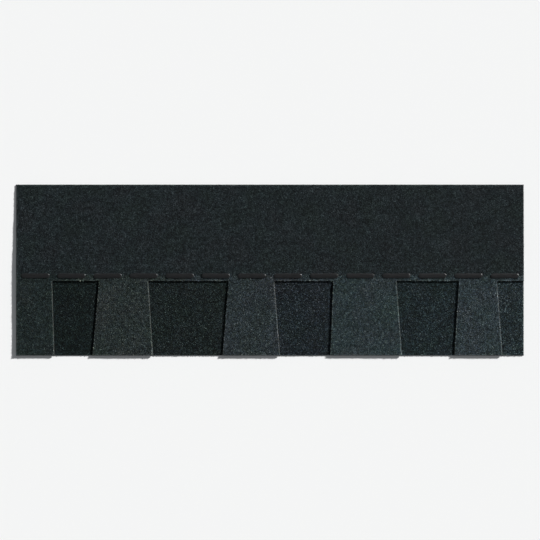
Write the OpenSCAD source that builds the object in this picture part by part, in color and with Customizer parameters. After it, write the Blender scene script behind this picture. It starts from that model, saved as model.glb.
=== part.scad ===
// Laminated asphalt roof shingle: a sheet with tapered teeth along its butt edge,
// bonded to a narrower backer strip that shows in the slots between the teeth.
// It lies face up as on a level floor: the double-thick part rests on the backer,
// and the single-thick headlap slopes down past the backer until its top edge touches too.
// +X runs along the course, +Y from the butt edge up the slope, +Z out of the weather face.

/* [Shingle] */
// Length along the course
length = 1000; // [800:10:1200]
// Height from the butt edge to the top edge
height = 337; // [280:1:420]
// Height of the band that stays open to the weather
exposure = 143; // [110:1:175]

/* [Toothed sheet] */
// Thickness of the toothed sheet, granules included
sheet_t = 2.4; // [1.5:0.1:4]
// How far the slots run up under the next course
slot_cover = 3; // [1:1:12]
// Width of each tooth at the butt edge, the first one cut by the left end
tooth_w = [76, 120, 114, 142, 96]; // each 60 to 180
// Width of the slot to the right of each tooth, at the butt edge
slot_w = [74, 136, 98, 102, 68]; // each 40 to 180
// How far the left flank of each tooth leans in over the exposure
lean_left = [12, 12.5, 11.5, 5.5, 9]; // each 0 to 20
// How far the right flank of each tooth leans in over the exposure
lean_right = [4.5, 9, 11, 10.5, 10.5]; // each 0 to 20

/* [Backer strip] */
// Thickness of the backer strip, granules included
backer_t = 2.2; // [1.5:0.1:4]
// Height of the band above the slots where both layers are bonded and nailed
bond_band = 17; // [12:1:40]

/* [Headlap] */
// Run of the soft bend past the backer, after which the headlap slopes straight to the floor
bend_run = 15; // [10:5:60]

/* [Sealant strip] */
// Distance from the exposure line up to the sealant
seal_above = 9; // [5:1:20]
// Width of each sealant dash
seal_w = 10; // [6:1:14]
// Length of each sealant dash
seal_l = 56; // [30:1:90]
// Gap between two dashes, where water drains
seal_gap = 15; // [8:1:30]
// Height of each sealant dash at its middle
seal_h = 0.9; // [0.7:0.1:2]
// Height of each sealant dash at its rim
seal_rim = 0.3; // [0.1:0.1:0.5]

/* [Release tape] */
// Width of the release tape on the back
tape_w = 32; // [20:1:40]
// Thickness of the release tape
tape_t = 0.1; // [0.05:0.05:0.3]
// Gap between the backer's top edge and the tape
tape_gap = 1; // [0.5:0.5:5]

/* [Hidden] */

slot_h = exposure + slot_cover;         // the slots end just under the next course
backer_h = slot_h + bond_band;
face_z = backer_t + sheet_t;            // weather face over the backer
bend_start = backer_h + tape_gap / 2;   // the headlap leaves the backer's level here
slope = backer_t / (height - bend_start - bend_run / 2);
bend_steps = 12;
cut_extra = 10;                         // overshoot of cutting shapes past a face
seal_pitch = seal_l + seal_gap;
seal_count = floor((length + seal_gap) / seal_pitch);
seal_margin = (length - seal_count * seal_pitch + seal_gap) / 2;
seal_y = exposure + seal_above;         // lower edge of the sealant
end_fn = 96;                            // facets round a dash's end
ridge_fn = 360;                         // and round its much larger ridge

// Underside of the toothed sheet as [y, z] pairs: level, a soft bend, a straight slope to the floor
underside = concat(
    [[0, backer_t]],
    [for (i = [0 : bend_steps])
        let (y = bend_run * i / bend_steps)
            [bend_start + y, backer_t - slope * y * y / (2 * bend_run)]],
    [[height, 0]]);

// Underside points from y0 to y1, both ends included
function under_from(y0, y1) = concat(
    [[y0, lookup(y0, underside)]],
    [for (p = underside) if (p[0] > y0 && p[0] < y1) p],
    [[y1, lookup(y1, underside)]]);

// Where pattern entry i begins; the pattern repeats past its end
teeth = len(tooth_w);
function tooth_start(i) = i == 0 ? 0 : tooth_start(i - 1) + pick(tooth_w, i - 1) + pick(slot_w, i - 1);
function pick(list, i) = list[i % len(list)];
slot_limit = 4 * teeth;                 // more slots than the longest sheet holds
slots = [for (i = [0 : slot_limit]) let (x = tooth_start(i) + pick(tooth_w, i)) if (x < length) i];

// Closed band between a line of [y, z] points and its copy dz higher
function band(line, dz) = concat(line, [for (i = [len(line) - 1 : -1 : 0]) line[i] + [0, dz]]);

// Extrudes a Y-Z outline along the whole length
module along_course(outline) {
    rotate([90, 0, 90]) linear_extrude(height = length) polygon(outline);
}

// Brings the butt-left corner frame to the centre of the footprint
module placed() {
    translate([-length / 2, -height / 2, 0]) children();
}

// Slot i seen from above: the flanks of its two teeth lean away from it as they rise,
// and it keeps their slope past the exposure line up to its own top and below the butt edge
module slot_outline(i) {
    x0 = tooth_start(i) + pick(tooth_w, i);
    x1 = x0 + pick(slot_w, i);
    out_l = pick(lean_right, i) / exposure;
    out_r = pick(lean_left, i + 1) / exposure;
    polygon([
        [x0 + out_l * cut_extra, -cut_extra],
        [x1 - out_r * cut_extra, -cut_extra],
        [x1 + out_r * slot_h, slot_h],
        [x0 - out_l * slot_h, slot_h]]);
}

module toothed_sheet() {
    color([0.17, 0.195, 0.205]) placed() difference() {
        along_course(band(under_from(0, height), sheet_t));
        for (i = slots)
            translate([0, 0, backer_t - cut_extra])
                linear_extrude(height = sheet_t + 2 * cut_extra) slot_outline(i);
    }
}

module backer_strip() {
    color([0.12, 0.145, 0.15]) placed() cube([length, backer_h, backer_t]);
}

// One dash: a shallow round ridge with round ends, sitting on z = 0 with its lower left at the origin
module sealant_dash() {
    crown = seal_h - seal_rim;
    ridge_r = (pow(seal_w / 2, 2) + pow(crown, 2)) / (2 * crown);
    intersection() {
        translate([0, seal_w / 2, seal_h - ridge_r]) rotate([0, 90, 0])
            cylinder(r = ridge_r, h = seal_l, $fn = ridge_fn);
        union() {
            translate([seal_w / 2, 0, 0]) cube([seal_l - seal_w, seal_w, 2 * seal_h]);
            for (x = [seal_w / 2, seal_l - seal_w / 2])
                translate([x, seal_w / 2, 0]) cylinder(d = seal_w, h = 2 * seal_h, $fn = end_fn);
        }
    }
}

module sealant_strip() {
    color([0.03, 0.03, 0.03]) placed()
        for (i = [0 : seal_count - 1])
            translate([seal_margin + i * seal_pitch, seal_y, face_z]) sealant_dash();
}

module release_tape() {
    color([0.75, 0.78, 0.8]) placed() {
        y0 = backer_h + tape_gap;
        translate([0, 0, -tape_t]) along_course(band(under_from(y0, y0 + tape_w), tape_t));
    }
}

toothed_sheet();
backer_strip();
sealant_strip();
release_tape();
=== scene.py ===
# %% [markdown]
# # A laminated asphalt roof shingle
#
# One shingle of the kind that is nailed to a pitched roof in overlapping courses. It is two
# layers of roofing felt: a sheet with irregular teeth along its lower edge, and a plain backer
# strip behind it that shows in the slots between the teeth. Both are glass mat soaked in
# bitumen, with crushed rock pressed into the face.
#
# The CAD model fixes every size. This script loads it, keeps its outlines, and gives each layer
# what the CAD leaves out: a rough cut edge, a slightly uneven surface, and real stones.

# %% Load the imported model
import math

import bpy
import numpy as np
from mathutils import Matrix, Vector, geometry, kdtree


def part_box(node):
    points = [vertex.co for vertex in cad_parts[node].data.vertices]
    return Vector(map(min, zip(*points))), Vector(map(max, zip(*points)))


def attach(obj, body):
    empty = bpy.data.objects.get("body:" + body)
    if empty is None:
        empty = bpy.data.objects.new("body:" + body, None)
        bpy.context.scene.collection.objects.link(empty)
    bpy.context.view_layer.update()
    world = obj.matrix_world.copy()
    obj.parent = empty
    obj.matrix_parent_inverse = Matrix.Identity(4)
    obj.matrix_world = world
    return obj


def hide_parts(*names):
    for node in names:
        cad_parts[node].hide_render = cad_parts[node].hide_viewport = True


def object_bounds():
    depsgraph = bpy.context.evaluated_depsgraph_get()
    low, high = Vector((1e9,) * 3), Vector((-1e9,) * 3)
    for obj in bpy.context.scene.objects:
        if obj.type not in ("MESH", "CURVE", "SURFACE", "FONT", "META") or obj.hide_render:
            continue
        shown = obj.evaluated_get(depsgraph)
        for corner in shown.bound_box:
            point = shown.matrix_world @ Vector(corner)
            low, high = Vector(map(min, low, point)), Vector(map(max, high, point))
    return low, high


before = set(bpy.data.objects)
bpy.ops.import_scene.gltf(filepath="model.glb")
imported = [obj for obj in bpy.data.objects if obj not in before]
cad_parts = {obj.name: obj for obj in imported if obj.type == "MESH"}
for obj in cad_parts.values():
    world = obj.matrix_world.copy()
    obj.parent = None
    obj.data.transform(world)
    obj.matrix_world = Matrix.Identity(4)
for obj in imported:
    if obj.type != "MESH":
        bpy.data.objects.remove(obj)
cad_box = [[float(v) for v in corner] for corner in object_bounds()]
MM = 0.001  # lengths below are in millimetres times this, because Blender works in metres
print("CAD box in mm:", [[round(v / MM, 2) for v in corner] for corner in cad_box])

# %% [markdown]
# ## Reading shapes from the CAD
#
# Each layer is flat, so two things describe it: its outline from above, and how high its face
# lies. Both could be typed in again, but read from the CAD mesh they stay right when a size
# changes there. A triangle edge that no neighbour shares lies on the outline, and walking from
# edge to edge gives the outline in order.

# %% Outline of a layer, seen from above
def upward_triangles(name):
    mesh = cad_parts[name].data
    mesh.calc_loop_triangles()
    corners = np.array([[mesh.vertices[i].co for i in t.vertices] for t in mesh.loop_triangles])
    normals = np.cross(corners[:, 1] - corners[:, 0], corners[:, 2] - corners[:, 0])
    return corners[normals[:, 2] > 0.5 * np.linalg.norm(normals, axis=1)]


def outline_of(name):
    onward = set()
    for corners in np.round(upward_triangles(name)[:, :, :2] / MM, 3).tolist():
        a, b, c = map(tuple, corners)
        for start, end in ((a, b), (b, c), (c, a)):
            if (end, start) in onward:
                onward.remove((end, start))
            else:
                onward.add((start, end))
    onward = dict(onward)
    loop = [min(onward)]
    while onward[loop[-1]] != loop[0]:
        loop.append(onward[loop[-1]])
    loop = np.array(loop)
    ahead, behind = np.roll(loop, -1, 0) - loop, loop - np.roll(loop, 1, 0)
    turns = np.abs(ahead[:, 0] * behind[:, 1] - ahead[:, 1] * behind[:, 0]) > 0.01
    return loop[turns] * MM


sheet_outline = outline_of("toothed_sheet")
backer_outline = outline_of("backer_strip")
print("corners of the toothed sheet:", len(sheet_outline), "and the backer:", len(backer_outline))

# %% Height of the toothed sheet's face, which slopes down past the backer
profile = upward_triangles("toothed_sheet")[:, :, 1:].reshape(-1, 2)
profile = np.unique(np.round(profile, 7), axis=0)
backer_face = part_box("backer_strip")[1].z
sheet_thickness = profile[-1, 1]  # the headlap's top edge lies on the floor
butt, top_edge = sheet_outline[:, 1].min(), sheet_outline[:, 1].max()
exposure_line = butt + 143 * MM  # the next course up covers all above this
print("sheet thickness in mm:", round(sheet_thickness / MM, 2), "face:", round(profile[0, 1] / MM, 2))

# %% [markdown]
# ## Teeth and slots
#
# The mixer at the roofing mill drops several blends of stone in turn, so each tooth and each
# slot has its own tone and cast: greenish charcoal on the left, and a bluer grey from there on.
# The tints also grow lighter from left to right, and that part is painted light: the fall-off
# of a lamp on the right, painted into the colour as shade at the left end.
# A material could find the teeth by their place, in a long chain of nodes. Here each tint is kept
# at the points of the mesh instead, and the material lays it over the colours of the stones. The
# slots are found in the outline, where all their upper corners lie at one height. The last one
# runs off the right end.

# %% Colours are picked as sRGB hex values, and shaders reckon in linear light
def hex_colour(code):
    srgb = [int(code[i:i + 2], 16) / 255 for i in (1, 3, 5)]
    return (*(c / 12.92 if c <= 0.04045 else ((c + 0.055) / 1.055) ** 2.4 for c in srgb), 1)


# %% Where the slots are, and the tint of each tooth and slot from left to right, with painted light fall-off in it
upper_corners = sheet_outline[(sheet_outline[:, 1] > butt + MM) & (sheet_outline[:, 1] < top_edge - MM)]
slot_top = upper_corners[0, 1]
slot_middles = np.sort(upper_corners[:, 0]).reshape(-1, 2).mean(1)
# the last tooth tint is for the stretch of the sheet above the last slot
# besides each blend's own tone, these tints hold painted light: painted shade at the left end, painted light
# at the right
TOOTH_TINTS_AND_PAINTED_FALLOFF = [hex_colour(c) for c in ("#abb2ad", "#cecdc6", "#dcd9de", "#e3ebed", "#eef1f7", "#eef1f7")]
SLOT_TINTS_AND_PAINTED_FALLOFF = [hex_colour(c) for c in ("#919f9a", "#b4bab4", "#cecfd8", "#ccd8db", "#ecf5f7")]
HEADLAP_TINT = hex_colour("#e2e2e2")
BLEND_END = exposure_line + 14 * MM  # the coloured blend stops here, under the next course


def tooth_tint_and_painted_falloff(xy):
    tints = np.array(TOOTH_TINTS_AND_PAINTED_FALLOFF)[np.searchsorted(slot_middles, xy[:, 0])]
    tints[xy[:, 1] > BLEND_END] = HEADLAP_TINT
    return tints


def slot_tint_and_painted_falloff(xy):
    return np.array(SLOT_TINTS_AND_PAINTED_FALLOFF)[np.abs(xy[:, :1] - slot_middles).argmin(1)]


print("slot middles in mm:", [round(float(x) / MM) for x in slot_middles])

# %% [markdown]
# ## Cutting and laying a sheet
#
# A rotary cutter chops the felt while the bitumen is warm. The cut wanders by a tenth of a
# millimetre or two, presses the rim down a little and breaks the stones on it, which show paler
# rock where their coat is gone. Then the felt cools slightly wavy. A sheet could be cut in Blender
# with booleans and displaced afterwards, but a few sums on its points do the same and stay the
# same on every run.

# %% The wandering cut
random = np.random.default_rng(7)


def cut_line(loop, step, wander):
    """Points round a cut, `step` apart, pulled in by up to `wander`, and the way out at each."""
    stretches = []
    for a, b in zip(loop, np.roll(loop, -1, 0)):
        count = max(1, round(np.linalg.norm(b - a) / step))
        stretches.append(a + (b - a) * np.arange(count)[:, None] / count)
    points = np.concatenate(stretches)
    along = np.roll(points, -1, 0) - np.roll(points, 1, 0)
    out = np.stack([along[:, 1], -along[:, 0]], 1) / np.linalg.norm(along, axis=1)[:, None]
    rough = random.random(len(points))
    rough = (np.roll(rough, 1) + 2 * rough + np.roll(rough, -1)) / 4
    return points - out * wander * rough[:, None], out


# %% The waves in the felt, and its pressed rim
RIM = 2.0 * MM  # how far in from the cut the face is pressed down
PRESSED = 0.6 * MM  # and by how much at the cut itself
BROKEN = 3.0 * MM  # how far in from the cut stones are broken
BARE_ROCK = np.array((2.7, 2.3, 2.1, 0))  # how much paler and greyer bare rock is, at most


def waves(xy):
    x, y = xy.T / MM
    return 0.06 * MM * (np.sin(x / 17 + y / 29) + np.sin(x / 41 - y / 13 + 1) + np.sin(y / 9 - x / 97))


def rim_drop(distance):
    return PRESSED * np.clip(1 - distance / RIM, 0, 1) ** 2


def broken(distance, xy):
    x, y = xy.T / MM
    patchy = 0.62 + 0.19 * (np.sin(x / 3.1 + y / 4.3) + np.sin(y / 11 - x / 7 + 2))
    return 1 + BARE_ROCK * (patchy * np.clip(1.6 - 1.6 * distance / BROKEN, 0, 1))[:, None]


def distance_to(line, xy):
    tree = kdtree.KDTree(len(line))
    for i, (x, y) in enumerate(line):
        tree.insert((x, y, 0), i)
    tree.balance()
    return np.array([tree.find((x, y, 0))[2] for x, y in xy])


# %% Loose points inside an outline, on a grid of triangles
def inside(loop, xy):
    crossings = np.zeros(len(xy), int)
    for (ax, ay), (bx, by) in zip(loop, np.roll(loop, -1, 0)):
        if ay != by:
            level = (xy[:, 1] < max(ay, by)) & (xy[:, 1] >= min(ay, by))
            crossings += level & (xy[:, 0] < ax + (xy[:, 1] - ay) * (bx - ax) / (by - ay))
    return crossings % 2 == 1


def loose_grid(loop, step, jitter):
    low, high = loop.min(0), loop.max(0)
    rows = np.arange(low[1], high[1], step * math.sqrt(0.75))
    columns = np.arange(low[0], high[0], step)
    x = columns + (np.arange(len(rows)) % 2)[:, None] * step / 2
    xy = np.stack([x.ravel(), np.repeat(rows, len(columns))], 1)
    return xy + random.uniform(-jitter, jitter, xy.shape)


print("rim of the toothed sheet:", len(cut_line(sheet_outline, 2 * MM, 0)[0]), "points")

# %% [markdown]
# ## A mesh from arrays
#
# The sheets and the stones have many thousands of vertices, so they are made with NumPy and
# handed to Blender whole, which is far quicker than adding vertices one by one. Each also gets
# a UV map that is a plan from above, which an export can bake the colours on, and the tint of the
# blend at each vertex, which also holds a painted fall-off of light from left to right.

# %% Build one mesh object
def make_piece(name, points, triangles, uv=None, parts=None, smooth=False, tint=None):
    mesh = bpy.data.meshes.new(name)
    mesh.vertices.add(len(points))
    mesh.vertices.foreach_set("co", points.ravel())
    mesh.loops.add(triangles.size)
    mesh.loops.foreach_set("vertex_index", triangles.ravel())
    mesh.polygons.add(len(triangles))
    mesh.polygons.foreach_set("loop_start", np.arange(0, triangles.size, 3))
    mesh.polygons.foreach_set("use_smooth", np.full(len(triangles), smooth))
    if parts is not None:
        mesh.polygons.foreach_set("material_index", parts)
    if uv is not None:
        mesh.uv_layers.new(name="OFBake").data.foreach_set("uv", uv.ravel())
    if tint is not None:
        mesh.attributes.new("blend", "FLOAT_COLOR", "POINT").data.foreach_set("color", tint.ravel())
    mesh.update(calc_edges=True)
    mesh.validate()
    piece = bpy.data.objects.new(name, mesh)
    bpy.context.scene.collection.objects.link(piece)
    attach(piece, "root")
    print(name, "has", len(triangles), "triangles")
    return piece


# %% [markdown]
# ## The felt layers
#
# A layer is a face, a back, and a cut edge between them. A plane with a Solidify and a Bevel
# modifier would give all three, but with an edge as even as machined steel, so they are built
# here. The face is a Delaunay triangulation of loose points inside the rim, and the back is the
# same net turned over. The edge is a stack of rings down from the face: the pressed rim, the
# sheared bitumen, the pale line of the glass mat half way down, and bitumen again. The blade
# dragged the warm bitumen with it, so the edge flares out on its way down, and it tears more than
# it cuts, so each ring wanders on its own and the faces between them are flat. Each ring is given
# by how far in it lies, and how far down between the rim and the back.

# %% Rings of a cut edge: millimetres in, share of the way down, and what lies below the ring
FACE, CUT, MAT, BACK = range(4)
EDGE_RINGS = ((1.8, 0, FACE), (1.3, 0, FACE), (0.9, 0, CUT), (0.5, 0.3, MAT), (0.35, 0.5, CUT),
              (0.0, 0.85, CUT), (0.2, 1, BACK))
TORN = 0.14 * MM  # how far a ring of the cut wanders in and out
STAND = 0.45 * MM  # the stones stand this far above the bitumen that holds them
CUT_STEP, CUT_WANDER = 1.5 * MM, 0.25 * MM  # between the points of a ring, and how far the cutter strayed
NET_STEP, NET_JITTER = 4.2 * MM, 0.9 * MM  # between the loose points of a face, and how loose they are
print("an edge is torn on", sum(below in (CUT, MAT) for _, _, below in EDGE_RINGS), "rings")


# %% The net of a face: its innermost ring, one more where the broken stones end, and loose points
def face_net(loop, rim, out):
    ring, loose = rim - out * BROKEN, loose_grid(loop, NET_STEP, NET_JITTER)
    fill = [xy[inside(loop, xy) & (distance_to(rim, xy) > room)]
            for xy, room in ((ring, 0.8 * BROKEN), (loose, BROKEN + MM))]
    plan = np.concatenate([rim - out * EDGE_RINGS[0][0] * MM, *fill])
    around = list(range(len(rim)))
    net = geometry.delaunay_2d_cdt([Vector(p) for p in plan], [], [around], 1, 1e-9, True)
    plan, triangles = np.array(net[0]), np.array(net[2])
    return plan, triangles[inside(plan[around], plan[triangles].mean(1))]  # the net spans the slots too


# %% Build a felt layer
def felt_layer(name, loop, face_height, back_height, tint):
    rim, out = cut_line(loop, CUT_STEP, CUT_WANDER)
    n = len(rim)
    plan, inner = face_net(loop, rim, out)
    face = face_height(plan) - STAND + waves(plan) - rim_drop(distance_to(rim, plan))

    points = [np.column_stack([plan, face])]
    for inward, down, below in EDGE_RINGS[1:]:
        torn = TORN * random.uniform(0, 1, (n, 1)) if below in (CUT, MAT) else 0
        ring = rim - out * (inward * MM + torn)
        rim_face = face_height(ring) - STAND + waves(ring) - rim_drop(inward * MM)
        height = rim_face + (back_height(ring) - rim_face) * down
        points.append(np.column_stack([ring, height]))
    points.append(np.column_stack([plan, back_height(plan)])[n:])
    points = np.concatenate(points)

    ring_of = [np.arange(n)] + [len(plan) + k * n + np.arange(n) for k in range(len(EDGE_RINGS) - 1)]
    back_of = np.concatenate([ring_of[-1], ring_of[-1][-1] + 1 + np.arange(len(plan) - n)])
    triangles, parts = [inner, back_of[inner[:, ::-1]]], [FACE, BACK]
    for k, (upper, lower) in enumerate(zip(ring_of, ring_of[1:])):
        triangles.append(np.stack([upper, lower, np.roll(lower, -1)], 1))
        triangles.append(np.stack([upper, np.roll(lower, -1), np.roll(upper, -1)], 1))
        parts += [EDGE_RINGS[k][2]] * 2
    parts = np.concatenate([np.full(len(t), part) for t, part in zip(triangles, parts)])
    uv = layer_map(points, triangles, n)
    tints = tint(points[:, :2]) * broken(distance_to(rim, points[:, :2]), points[:, :2])
    smooth = (parts == FACE) | (parts == BACK)
    return make_piece(name, points, np.concatenate(triangles), uv, parts, smooth, tints)


# %% [markdown]
# A layer's UV map is a plan at one scale: the face at the bottom of the square, and the back
# above it. A tool such as Smart UV Project would scatter the cut edge in thousands of scraps.
# Here it unrolls into four strips on top, a quarter of the way round each, drawn taller than
# they are, so that the line of the mat isn't lost in a bake.

# %% Lay out a layer's UV map
BACK_UP = 0.34  # the plan of the back lies this far above that of the face
STRIPS_TOP, STRIP_DROP, BAND_DROP = 0.985, 0.072, 0.011  # a strip holds a band for each ring but one
STRIP_LEFT, STRIP_LENGTH = 0.01, 0.97


def layer_map(points, triangles, n):
    span = 1.02 * (cad_box[1][0] - cad_box[0][0])  # the length, with a little room at each end
    maps = [(points[t][:, :, :2] - cad_box[0][:2]) / span + 0.005 for t in triangles[:2]]
    maps[1][:, :, 1] += BACK_UP
    strip = np.arange(n) * 4 // n
    left = STRIP_LEFT + (np.arange(n) - strip * n / 4) / (n / 4) * STRIP_LENGTH
    right = left + STRIP_LENGTH * 4 / n
    for k in range(len(EDGE_RINGS) - 1):
        upper = STRIPS_TOP - strip * STRIP_DROP - k * BAND_DROP
        lower = upper - BAND_DROP
        a, b, c, d = (np.stack(p, 1) for p in ((left, upper), (left, lower), (right, lower), (right, upper)))
        maps += [np.stack([a, b, c], 1), np.stack([a, c, d], 1)]
    return np.concatenate(maps)


# %% Make the toothed sheet and the backer
def sheet_face(xy):
    return np.interp(xy[:, 1], profile[:, 0], profile[:, 1])


def sheet_back(xy):
    return sheet_face(xy) - sheet_thickness


def backer_top(xy):
    return np.full(len(xy), backer_face)


def floor_level(xy):
    return np.zeros(len(xy))


toothed_felt = felt_layer("toothed_felt", sheet_outline, sheet_face, sheet_back, tooth_tint_and_painted_falloff)
backer_felt = felt_layer("backer_felt", backer_outline, backer_top, floor_level, slot_tint_and_painted_falloff)
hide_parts("toothed_sheet")
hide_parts("backer_strip")

# %% [markdown]
# ## The stones
#
# Roofing stones are crushed rock, 0.5 to 2.4 mm across, coloured in a kiln and rolled into the
# hot bitumen. The fine ones are left to the material. The coarse ones stand proud, throw small
# shadows and make the edges crumbly, so they are real: each is a low wedge of seven flat facets
# with a ridge on top. Geometry Nodes could scatter copies of a few wedges, but a copy shows when
# it lies near its twin, and all of them together as arrays can each have a shape of their own.

# %% One wedge of rock: five corners round its foot, then the two ends of its ridge
FOOT, CORNERS = 5, 7
FACETS = np.array([[0, 1, 5], [1, 2, 5], [2, 6, 5], [2, 3, 6], [3, 4, 6], [4, 0, 6], [0, 5, 6]])
FOOT_ANGLES = 2 * math.pi / FOOT * np.arange(FOOT)
RIDGE_ANGLES = np.array([1.25, 4.3])
TYPICAL_STONE, STONE_SPREAD = 1.75, 0.22  # in mm, and as a standard deviation of its logarithm
SMALLEST_STONE, LARGEST_STONE = 1.1, 2.5  # in mm
print("a stone has", len(FACETS), "facets")


# %% Set stones on a layer
def scatter(name, xy, height, cut, tint):
    """Sets a stone at each point, on the bitumen bed of a layer with this face height and cut."""
    count = len(xy)
    away = distance_to(cut, xy)
    size = random.lognormal(math.log(TYPICAL_STONE), STONE_SPREAD, count)
    size = np.clip(size, SMALLEST_STONE, LARGEST_STONE) * MM
    turn = random.uniform(0, 2 * math.pi, (count, 1))
    foot = turn + FOOT_ANGLES + random.uniform(-0.25, 0.25, (count, FOOT))
    ridge = turn + RIDGE_ANGLES + random.uniform(-0.4, 0.4, (count, CORNERS - FOOT))
    angle = np.concatenate([foot, ridge], 1)
    reach = random.uniform(0.42, 0.6, (count, CORNERS)) * size[:, None]
    reach[:, FOOT:] *= 0.4  # the ridge is less than half as long as the stone
    plan = xy[:, None] + np.stack([np.cos(angle), np.sin(angle)], 2) * reach[:, :, None]

    flat = plan.reshape(-1, 2)
    bed = (height(flat) - STAND + waves(flat)).reshape(count, CORNERS) - rim_drop(away)[:, None]
    bed[:, :FOOT] -= 0.12 * MM  # the foot is sunk in the bitumen
    proud = np.minimum(size * 0.36, 1.3 * STAND)
    bed[:, FOOT:] += (proud * random.uniform(0.75, 1, (CORNERS - FOOT, count))).T

    points = np.concatenate([plan, bed[:, :, None]], 2).reshape(-1, 3)
    triangles = (FACETS + CORNERS * np.arange(count)[:, None, None]).reshape(-1, 3)
    tints = np.repeat(tint(xy) * broken(away, xy), CORNERS, 0)
    uv = stone_map(points[triangles], np.repeat(xy, len(FACETS), 0))
    return make_piece(name, points, triangles, uv, tint=tints)


# %% [markdown]
# A stone's UV map is the same plan, but cut in two halves, one above the other, so that the
# square is used at twice the scale. A stone goes where its middle goes, and isn't cut.

# %% Lay out the stones' UV map
def stone_map(corners, middles):
    margin, length = 3 * MM, cad_box[1][0] - cad_box[0][0]
    span = 0.52 * length  # half the length and a margin
    uv = (corners[:, :, :2] - (cad_box[0][0] - margin, middles[:, 1].min() - margin)) / span
    uv[middles[:, 0] > 0] += (-0.5 * length / span, 0.5)
    return uv


# %% Choose where the coarse stones lie
STONE_STEP, STONE_JITTER = 2.45 * MM, 0.75 * MM
END_ROOM = 0.9 * MM  # from the middle of a stone to an end of the sheet
CUT_ROOM, SLOT_ROOM = 0.8 * MM, 0.5 * MM  # to a cut, for a stone on the sheet and for one in a slot
COVER, HEADLAP_COVER = 0.93, 0.72  # the share of the places that hold a coarse stone

spots = loose_grid(sheet_outline, STONE_STEP, STONE_JITTER)
spots = spots[np.abs(spots[:, 0]) < cad_box[1][0] - END_ROOM]
spots = spots[(spots[:, 1] > butt) & (spots[:, 1] < top_edge)]
sheet_cut = cut_line(sheet_outline, MM, 0)[0]
from_cut = distance_to(sheet_cut, spots)
on_sheet = inside(sheet_outline, spots)
in_slot = ~on_sheet & (spots[:, 1] < slot_top) & (spots[:, 1] > butt + END_ROOM) & (from_cut > SLOT_ROOM)
on_sheet &= from_cut > CUT_ROOM
below = spots[:, 1] < BLEND_END
luck = random.random(len(spots))
print("places for coarse stones:", len(spots), "of which in slots:", in_slot.sum())

# %% Lay the coarse stones
tooth_spots = spots[on_sheet & below & (luck < COVER)]
headlap_spots = spots[on_sheet & ~below & (luck < HEADLAP_COVER)]
slot_spots = spots[in_slot & (luck < COVER)]
tooth_stones = scatter("tooth_stones", tooth_spots, sheet_face, sheet_cut, tooth_tint_and_painted_falloff)
headlap_stones = scatter("headlap_stones", headlap_spots, sheet_face, sheet_cut, tooth_tint_and_painted_falloff)
backer_cut = cut_line(backer_outline, MM, 0)[0]
slot_stones = scatter("slot_stones", slot_spots, backer_top, backer_cut, slot_tint_and_painted_falloff)

# %% [markdown]
# ## The sealant
#
# A row of short beads of soft bitumen runs above the exposure line. On a roof the sun melts them
# and they glue down the next course. They are laid molten, so each is a smooth low loaf with
# uneven sides. A bevelled curve would make an even sausage. Here a bead is a stack of rings, which
# starts as the CAD dash's outline, closes towards its spine, and ripples as it goes.

# %% Find the beads in the CAD, where each is a run of points at its left end and one at its right
bead_points = np.array([v.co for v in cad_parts["sealant_strip"].data.vertices])
bead_points = bead_points[bead_points[:, 0].argsort()]
breaks = np.flatnonzero(np.diff(bead_points[:, 0]) > 5 * MM) + 1
bead_boxes = [(part.min(0), part.max(0)) for part in np.split(bead_points, breaks[1::2])]
print("beads:", len(bead_boxes), "each about", np.round((bead_boxes[0][1] - bead_boxes[0][0]) / MM, 1), "mm")

# %% Rings of a bead: how far out from its spine, and how high, as shares of the dash's
BEAD_LEVELS = ((1.0, -0.5), (1.0, 0.1), (0.95, 0.45), (0.84, 0.66), (0.66, 0.82), (0.4, 0.94), (0.0, 1.0))
RING_POINTS = 120


def ripple(counts, low, high, angle):
    return sum(random.uniform(low, high) * np.sin(k * angle + random.uniform(0, 6)) for k in counts)


# %% Walk round a bead
def stadium(half, radius):
    """For each point round a spine of twice `half`: where on the spine, which way out, how far round."""
    end = math.pi * radius
    corners = np.cumsum([0, end, 2 * half, end, 2 * half])
    walked = np.linspace(0, corners[-1], RING_POINTS, endpoint=False)
    spine = np.interp(walked, corners, [half, half, -half, -half, half])
    turn = np.interp(walked, corners, math.pi * np.array([-0.5, 0.5, 0.5, 1.5, 1.5]))
    return spine, turn, walked * 2 * math.pi / corners[-1]


# %% One bead that fills the box of a dash, and whose sides and top sag unevenly
def bead(low, high):
    radius, middle = (high[1] - low[1]) / 2, (low + high) / 2
    half = (high[0] - low[0]) / 2 - radius
    spine, turn, way_round = stadium(half, radius)
    swell = 0.92 + ripple((2, 3, 5, 9), 0.01, 0.03, way_round)
    slump = 0.92 + ripple((1, 2, 4, 7), 0.01, 0.03, spine / half * math.pi)
    rings = []
    for share, rise in BEAD_LEVELS:
        reach = radius * share * swell
        tall = low[2] + (high[2] - low[2]) * np.where(rise > 0, rise * slump, rise)
        rings.append(np.column_stack([middle[0] + spine + np.cos(turn) * reach,
                                      middle[1] + np.sin(turn) * reach, tall]))
    return np.concatenate(rings)


# %% Make the beads
rings = np.arange(len(bead_boxes) * len(BEAD_LEVELS) * RING_POINTS).reshape(len(bead_boxes), -1, RING_POINTS)
bead_triangles = []
for lower, upper in ((ring, above) for stack in rings for ring, above in zip(stack, stack[1:])):
    bead_triangles.append(np.stack([lower, np.roll(lower, -1), np.roll(upper, -1)], 1))
    bead_triangles.append(np.stack([lower, np.roll(upper, -1), upper], 1))
bead_corners = np.concatenate([bead(low, high) for low, high in bead_boxes])
sealant_beads = make_piece("sealant_beads", bead_corners, np.concatenate(bead_triangles), smooth=True)
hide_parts("sealant_strip")

# %% [markdown]
# ## Nodes
#
# A material is a tree of nodes. One small function adds a node with its settings and links. A
# link is written as the node or socket that feeds it, so a material reads from top to bottom.

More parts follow.
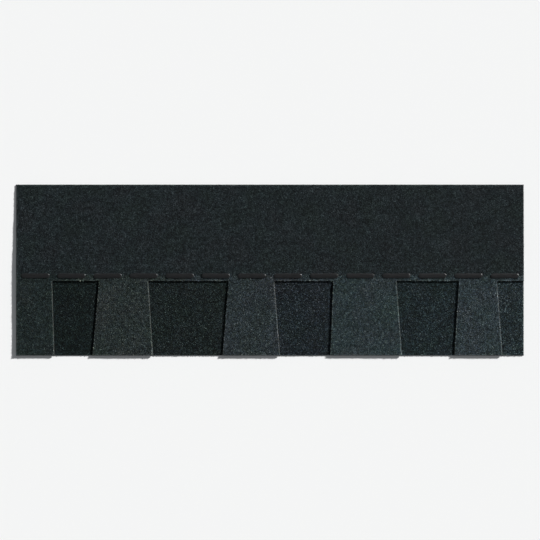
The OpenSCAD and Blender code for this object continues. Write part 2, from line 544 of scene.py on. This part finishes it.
# %% Add one node
def node(tree, kind, settings, *values, **named):
    """Adds a node. Values go to its inputs in order, named ones by name, and may be a node or socket."""
    made = tree.nodes.new("ShaderNode" + kind)
    for key, value in settings.items():
        if key == "stops":
            stops = made.color_ramp.elements
            while len(stops) < len(value):
                stops.new(1)
            for stop, (stop.position, code) in zip(stops, value):
                stop.color = hex_colour(code)
        elif key == "steps":
            made.color_ramp.interpolation = "CONSTANT"
        else:
            setattr(made, key, value)
    sockets = [s for s in made.inputs if s.enabled]
    by_name = {s.name.replace(" ", "_"): s for s in reversed(sockets)}
    for socket, value in [*zip(sockets, values), *((by_name[k], v) for k, v in named.items())]:
        if isinstance(value, bpy.types.Node):
            value = next(s for s in value.outputs if s.enabled)
        if isinstance(value, bpy.types.NodeSocket):
            tree.links.new(value, socket)
        else:
            socket.default_value = value
    return made


# %% Start a material, with its even values set on the shader itself
def finish(name, **even):
    material = bpy.data.materials.new(name)
    material.use_nodes = True
    tree = material.node_tree
    shader = tree.nodes["Principled BSDF"]
    for key, value in even.items():
        shader.inputs[key.replace("_", " ")].default_value = value
    place = node(tree, "TexCoord", {}).outputs["Object"]
    return material, tree, shader, place


# %% [markdown]
# ## Stone on the weather face
#
# The stones are basalt with a fired ceramic coat. What the eye gets is matt grain: no two stones
# alike, a few pale ones, and faint drifts of tone within each blend. Ceramic has an IOR near 1.5,
# and its broken facets are rough, at about 0.7. Rock dust on them dulls most of what they mirror.
#
# Plain noise would give soft blotches, and real grain is made of single stones of one colour
# each. So on the coarse real stones, each mesh island picks its colour from the blend. In the bed
# between them, each cell of a Voronoi pattern does, and stands for one fine stone. Fine stones
# lie about 0.8 mm apart on a real shingle, and are drawn as coarse as shows.

# %% The blends, as each colour and its share of the stones
WEATHER_BLEND = ((0.14, "#1d2628"), (0.14, "#2f3535"), (0.13, "#2e3a37"), (0.14, "#374249"),
                 (0.14, "#3a423d"), (0.18, "#434e52"), (0.10, "#535d5e"), (0.03, "#6f7874"))
SHADOW_BLEND = ((0.26, "#141a1c"), (0.16, "#242929"), (0.14, "#212c2a"), (0.14, "#2f3a42"),
                (0.11, "#343d38"), (0.10, "#404c50"), (0.06, "#515c5d"), (0.03, "#687070"))
HEADLAP_BLEND = ((0.32, "#191f21"), (0.32, "#242b2e"), (0.24, "#2f3838"), (0.12, "#414b4d"))
FINE_STONES = 1.3 * MM


def stops_of(blend):
    starts = np.cumsum([0] + [share for share, _ in blend])
    return [(float(start), colour) for start, (_, colour) in zip(starts, blend)]


# %% The colour that a stone picks, and how its blend changes from place to place
def stone_colour(tree, place, pick, other, blend):
    colour = node(tree, "ValToRGB", {"stops": stops_of(blend), "steps": True}, pick)
    if blend is WEATHER_BLEND:  # above the exposure the stones are plain, and a stray few cross over
        height = node(tree, "SeparateXYZ", {}, place).outputs["Y"]
        strayed = node(tree, "Math", {"operation": "MULTIPLY_ADD"}, other, 8 * MM, height)
        beyond = node(tree, "Math", {"operation": "GREATER_THAN"}, strayed, BLEND_END + 4 * MM)
        plain = node(tree, "ValToRGB", {"stops": stops_of(HEADLAP_BLEND), "steps": True}, pick)
        colour = node(tree, "Mix", {"data_type": "RGBA"}, beyond, A=colour, B=plain)
    # the blend attribute is each tooth's and slot's tint, and holds painted light: darker at the left end,
    # lighter at the right
    blend_tint_and_painted_falloff = node(tree, "Attribute", {"attribute_name": "blend"}).outputs["Color"]
    colour = node(tree, "VectorMath", {"operation": "MULTIPLY"}, colour, blend_tint_and_painted_falloff)
    # faint drifts from greenish to purplish grey, a finger's length apart
    drift = node(tree, "TexNoise", {}, place, Scale=1 / (70 * MM), Detail=2.0)
    tint = node(tree, "ValToRGB", {"stops": [(0.36, "#f0f8f2"), (0.5, "#f0f5f8"), (0.64, "#f7f1f5")]}, drift)
    colour = node(tree, "VectorMath", {"operation": "MULTIPLY"}, colour, tint)
    # drops of lighter and darker blend, a few centimetres across
    drops = node(tree, "TexNoise", {}, place, Scale=1 / (34 * MM), Detail=2.0)
    share = node(tree, "MapRange", {}, drops, 0.3, 0.7, 0.92, 1.08)
    colour = node(tree, "VectorMath", {"operation": "SCALE"}, colour, Scale=share)
    # stones of a kind fall in clumps of a few
    clumps = node(tree, "TexNoise", {}, place, Scale=1 / (6 * MM), Detail=1.0)
    share = node(tree, "MapRange", {}, clumps, 0.3, 0.7, 0.66, 1.34)
    return node(tree, "VectorMath", {"operation": "SCALE"}, colour, Scale=share)


# %% Material of the coarse stones
def coarse_stone(name, blend):
    material, tree, shader, place = finish(name, Roughness=0.7, IOR=1.5, Specular_IOR_Level=0.08)
    pick = node(tree, "NewGeometry", {}).outputs["Random Per Island"]
    other = node(tree, "TexWhiteNoise", {"noise_dimensions": "1D"}, pick).outputs["Value"]
    colour = stone_colour(tree, place, pick, other, blend)
    tree.links.new(colour.outputs[0], shader.inputs["Base Color"])
    return material


# %% Material of the bed, where bitumen shows black between fine stones that stand up from it
def fine_stone_bed(name, blend):
    material, tree, shader, place = finish(name, Roughness=0.72, IOR=1.5, Specular_IOR_Level=0.08)
    cells = node(tree, "TexVoronoi", {}, place, Scale=1 / FINE_STONES)
    picks = node(tree, "SeparateColor", {}, cells.outputs["Color"])
    colour = stone_colour(tree, place, picks.outputs["Red"], picks.outputs["Green"], blend)
    dome = node(tree, "MapRange", {}, cells.outputs["Distance"], 0.4, 0.72, 1.0, 0.3)
    colour = node(tree, "VectorMath", {"operation": "SCALE"}, colour, Scale=dome)
    bump = node(tree, "Bump", {}, Strength=0.9, Distance=0.35 * MM, Height=dome)
    tree.links.new(colour.outputs[0], shader.inputs["Base Color"])
    tree.links.new(bump.outputs[0], shader.inputs["Normal"])
    return material


weather_stones = coarse_stone("ceramic_coated_basalt", WEATHER_BLEND)
weather_bed = fine_stone_bed("fine_ceramic_coated_basalt_in_bitumen", WEATHER_BLEND)
shadow_stones = coarse_stone("dark_ceramic_coated_basalt", SHADOW_BLEND)
shadow_bed = fine_stone_bed("fine_dark_basalt_in_bitumen", SHADOW_BLEND)

# %% [markdown]
# ## Bitumen, mat and back
#
# Where the cutter sheared it, the felt shows oxidised bitumen filled with limestone dust, a dull
# greyish black. Through the middle runs the glass mat, whose cut strands are a broken pale line.
# The back is bitumen dusted with fine sand, so that stacked shingles don't stick. One material
# with masks could cover all three, but each has its own part of the mesh, so three simple ones
# do. Bitumen has an IOR of about 1.6. It is satin where it is bare and rough where it was sheared.

# %% Sheared bitumen, which crumbles a millimetre at a time
sheared_bitumen, tree, shader, place = finish("sheared_filled_bitumen", Roughness=0.85, IOR=1.6,
                                              Specular_IOR_Level=0.25)
crumbs = node(tree, "TexNoise", {}, place, Scale=1 / (0.9 * MM), Detail=3.0)
colour = node(tree, "ValToRGB", {"stops": [(0.35, "#0d0e0e"), (0.6, "#1a1c1b"), (0.8, "#2e302e")]}, crumbs)
bump = node(tree, "Bump", {}, Strength=0.8, Distance=0.2 * MM, Height=crumbs)
tree.links.new(colour.outputs[0], shader.inputs["Base Color"])
tree.links.new(bump.outputs[0], shader.inputs["Normal"])

# %% Cut strands of glass mat, drawn 1 mm long because the real 13 micron fibres can't show
glass_mat, tree, shader, place = finish("cut_glass_mat_in_bitumen", Roughness=0.8, IOR=1.55,
                                        Specular_IOR_Level=0.25)
strands = node(tree, "TexNoise", {}, place, Scale=1 / (1.0 * MM), Detail=2.0)
colour = node(tree, "ValToRGB", {"stops": [(0.42, "#171817"), (0.55, "#3b3d39"), (0.7, "#646761")]}, strands)
tree.links.new(colour.outputs[0], shader.inputs["Base Color"])

# %% Sanded back, with a sand grain every 0.8 mm, swept off in places
sanded_back, tree, shader, place = finish("sand_dusted_bitumen", Roughness=0.85, IOR=1.55)
grains = node(tree, "TexVoronoi", {}, place, Scale=1 / (0.8 * MM))
grain = node(tree, "SeparateColor", {}, grains.outputs["Color"])
sands = [(0.0, "#23211f"), (0.55, "#34312d"), (0.8, "#57524a"), (0.95, "#8c8577")]
colour = node(tree, "ValToRGB", {"stops": sands, "steps": True}, grain)
swept = node(tree, "TexNoise", {}, place, Scale=1 / (45 * MM), Detail=3.0)
bare = node(tree, "MapRange", {}, swept, 0.35, 0.65, 0.6, 1.1)
colour = node(tree, "VectorMath", {"operation": "SCALE"}, colour, Scale=bare)
bump = node(tree, "Bump", {}, Strength=0.6, Distance=0.15 * MM, Height=grains.outputs["Distance"])
tree.links.new(colour.outputs[0], shader.inputs["Base Color"])
tree.links.new(bump.outputs[0], shader.inputs["Normal"])

# %% [markdown]
# ## Sealant and release tape
#
# The beads are bitumen made rubbery with a polymer and laid molten: satin black, with a skin
# that wrinkled as it cooled. The tape on the back is clear polyester film with a silicone coat,
# smoothed down over sticky bitumen. It looks silvery grey, a little darker where it sticks fast,
# with fine creases across it. A clear layer over a black one would be its true build-up, but two
# faces 0.02 mm apart are hard to render cleanly, and a grey one with the film's gloss looks alike.

# %% Molten-laid sealant, whose wrinkles are about 2 mm apart
sealant, tree, shader, place = finish("molten_laid_rubberised_bitumen", IOR=1.6)
skin = node(tree, "TexNoise", {}, place, Scale=1 / (2.2 * MM), Detail=3.0)
colour = node(tree, "ValToRGB", {"stops": [(0.3, "#070708"), (0.7, "#111112")]}, skin)
gloss = node(tree, "MapRange", {}, skin, 0.3, 0.7, 0.28, 0.46)
bump = node(tree, "Bump", {}, Strength=0.5, Distance=0.15 * MM, Height=skin)
tree.links.new(colour.outputs[0], shader.inputs["Base Color"])
tree.links.new(gloss.outputs[0], shader.inputs["Roughness"])
tree.links.new(bump.outputs[0], shader.inputs["Normal"])

# %% Silicone-coated film, creased every 25 mm or so
film, tree, shader, place = finish("siliconed_polyester_film", Roughness=0.22, IOR=1.64)
creases = node(tree, "TexWave", {"bands_direction": "X"}, place, Scale=1 / (25 * MM), Distortion=9.0,
               Detail=3.0)
stuck = node(tree, "TexNoise", {}, place, Scale=1 / (14 * MM), Detail=3.0)
loose = node(tree, "Math", {"operation": "MULTIPLY_ADD"}, creases.outputs["Fac"], 0.25, stuck)
colour = node(tree, "ValToRGB", {"stops": [(0.4, "#7d8284"), (0.62, "#9a9fa0"), (0.85, "#b4b8b9")]}, loose)
bump = node(tree, "Bump", {}, Strength=0.5, Distance=0.12 * MM, Height=creases.outputs["Fac"])
tree.links.new(colour.outputs[0], shader.inputs["Base Color"])
tree.links.new(bump.outputs[0], shader.inputs["Normal"])

# %% Give each piece its finish
for piece, finishes in ((toothed_felt, (weather_bed, sheared_bitumen, glass_mat, sanded_back)),
                        (backer_felt, (shadow_bed, sheared_bitumen, glass_mat, sanded_back)),
                        (tooth_stones, (weather_stones,)), (headlap_stones, (weather_stones,)),
                        (slot_stones, (shadow_stones,)), (sealant_beads, (sealant,))):
    for material in finishes:
        piece.data.materials.append(material)
release_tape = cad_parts["release_tape"]
release_tape.data.materials.clear()
release_tape.data.materials.append(film)
print("materials:", sorted(m.name for m in bpy.data.materials))

# %% [markdown]
# ## Floor, camera and light
#
# The shingle lies face up on a pale floor, and the camera looks straight down on it with the
# butt edge below. The key lamp shines from the upper right, low enough for the teeth to throw a
# narrow shadow into the slots. An area lamp near by would light one end of the metre more than
# the other, so it is a sun lamp, spread over a few degrees to soften its shadows. The pale walls
# of the studio fill in the rest.

# %% Floor of matt studio paper, which shows shadows but no gloss
FLOOR_HALF, FLOOR_DROP = 6, 0.02 * MM  # it lies a hair below the shingle, so that they don't coincide
floor_mesh = bpy.data.meshes.new("floor")
corners = [(x * FLOOR_HALF, y * FLOOR_HALF, -FLOOR_DROP) for x, y in ((-1, -1), (1, -1), (1, 1), (-1, 1))]
floor_mesh.from_pydata(corners, [], [(0, 1, 2, 3)])
floor = bpy.data.objects.new("floor", floor_mesh)
bpy.context.scene.collection.objects.link(floor)
paper, tree, shader, place = finish("matt_studio_paper", Base_Color=hex_colour("#f1f1f0"), Roughness=0.9,
                                    Specular_IOR_Level=0.1)
floor_mesh.materials.append(paper)

# %% Camera, high up with a long lens, so that the shingle shows square on
camera = bpy.data.objects.new("camera", bpy.data.cameras.new("camera"))
bpy.context.scene.collection.objects.link(camera)
bpy.context.scene.camera = camera
camera.data.lens = 100
in_view = (cad_box[1][0] - cad_box[0][0]) / 0.94  # the shingle fills 94% of the width
camera.location = (0, 0, in_view * camera.data.lens / camera.data.sensor_width)
print("camera height in m:", round(camera.location.z, 2))

# %% Key lamp
key = bpy.data.objects.new("key", bpy.data.lights.new("key", "SUN"))
bpy.context.scene.collection.objects.link(key)
key.data.angle, key.data.energy = math.radians(4.5), 8.7
towards_key = Vector((3.1, 2.3, 1.25)).normalized()
key.rotation_euler = towards_key.to_track_quat("Z", "Y").to_euler()
print("key lamp's height in degrees:", round(math.degrees(math.asin(towards_key.z)), 1))

# %% Pale walls all round, and a dim ceiling above them
world = bpy.data.worlds.new("studio")
bpy.context.scene.world = world
world.use_nodes = True
tree = world.node_tree
up = node(tree, "SeparateXYZ", {}, node(tree, "TexCoord", {}).outputs["Generated"]).outputs["Z"]
room = node(tree, "ValToRGB", {"stops": [(0.0, "#f2f4f5"), (0.08, "#eef0f2"), (0.3, "#76797c")]}, up)
tree.links.new(room.outputs[0], tree.nodes["Background"].inputs["Color"])
tree.nodes["Background"].inputs["Strength"].default_value = 0.85
bpy.context.scene.view_settings.view_transform = "Standard"
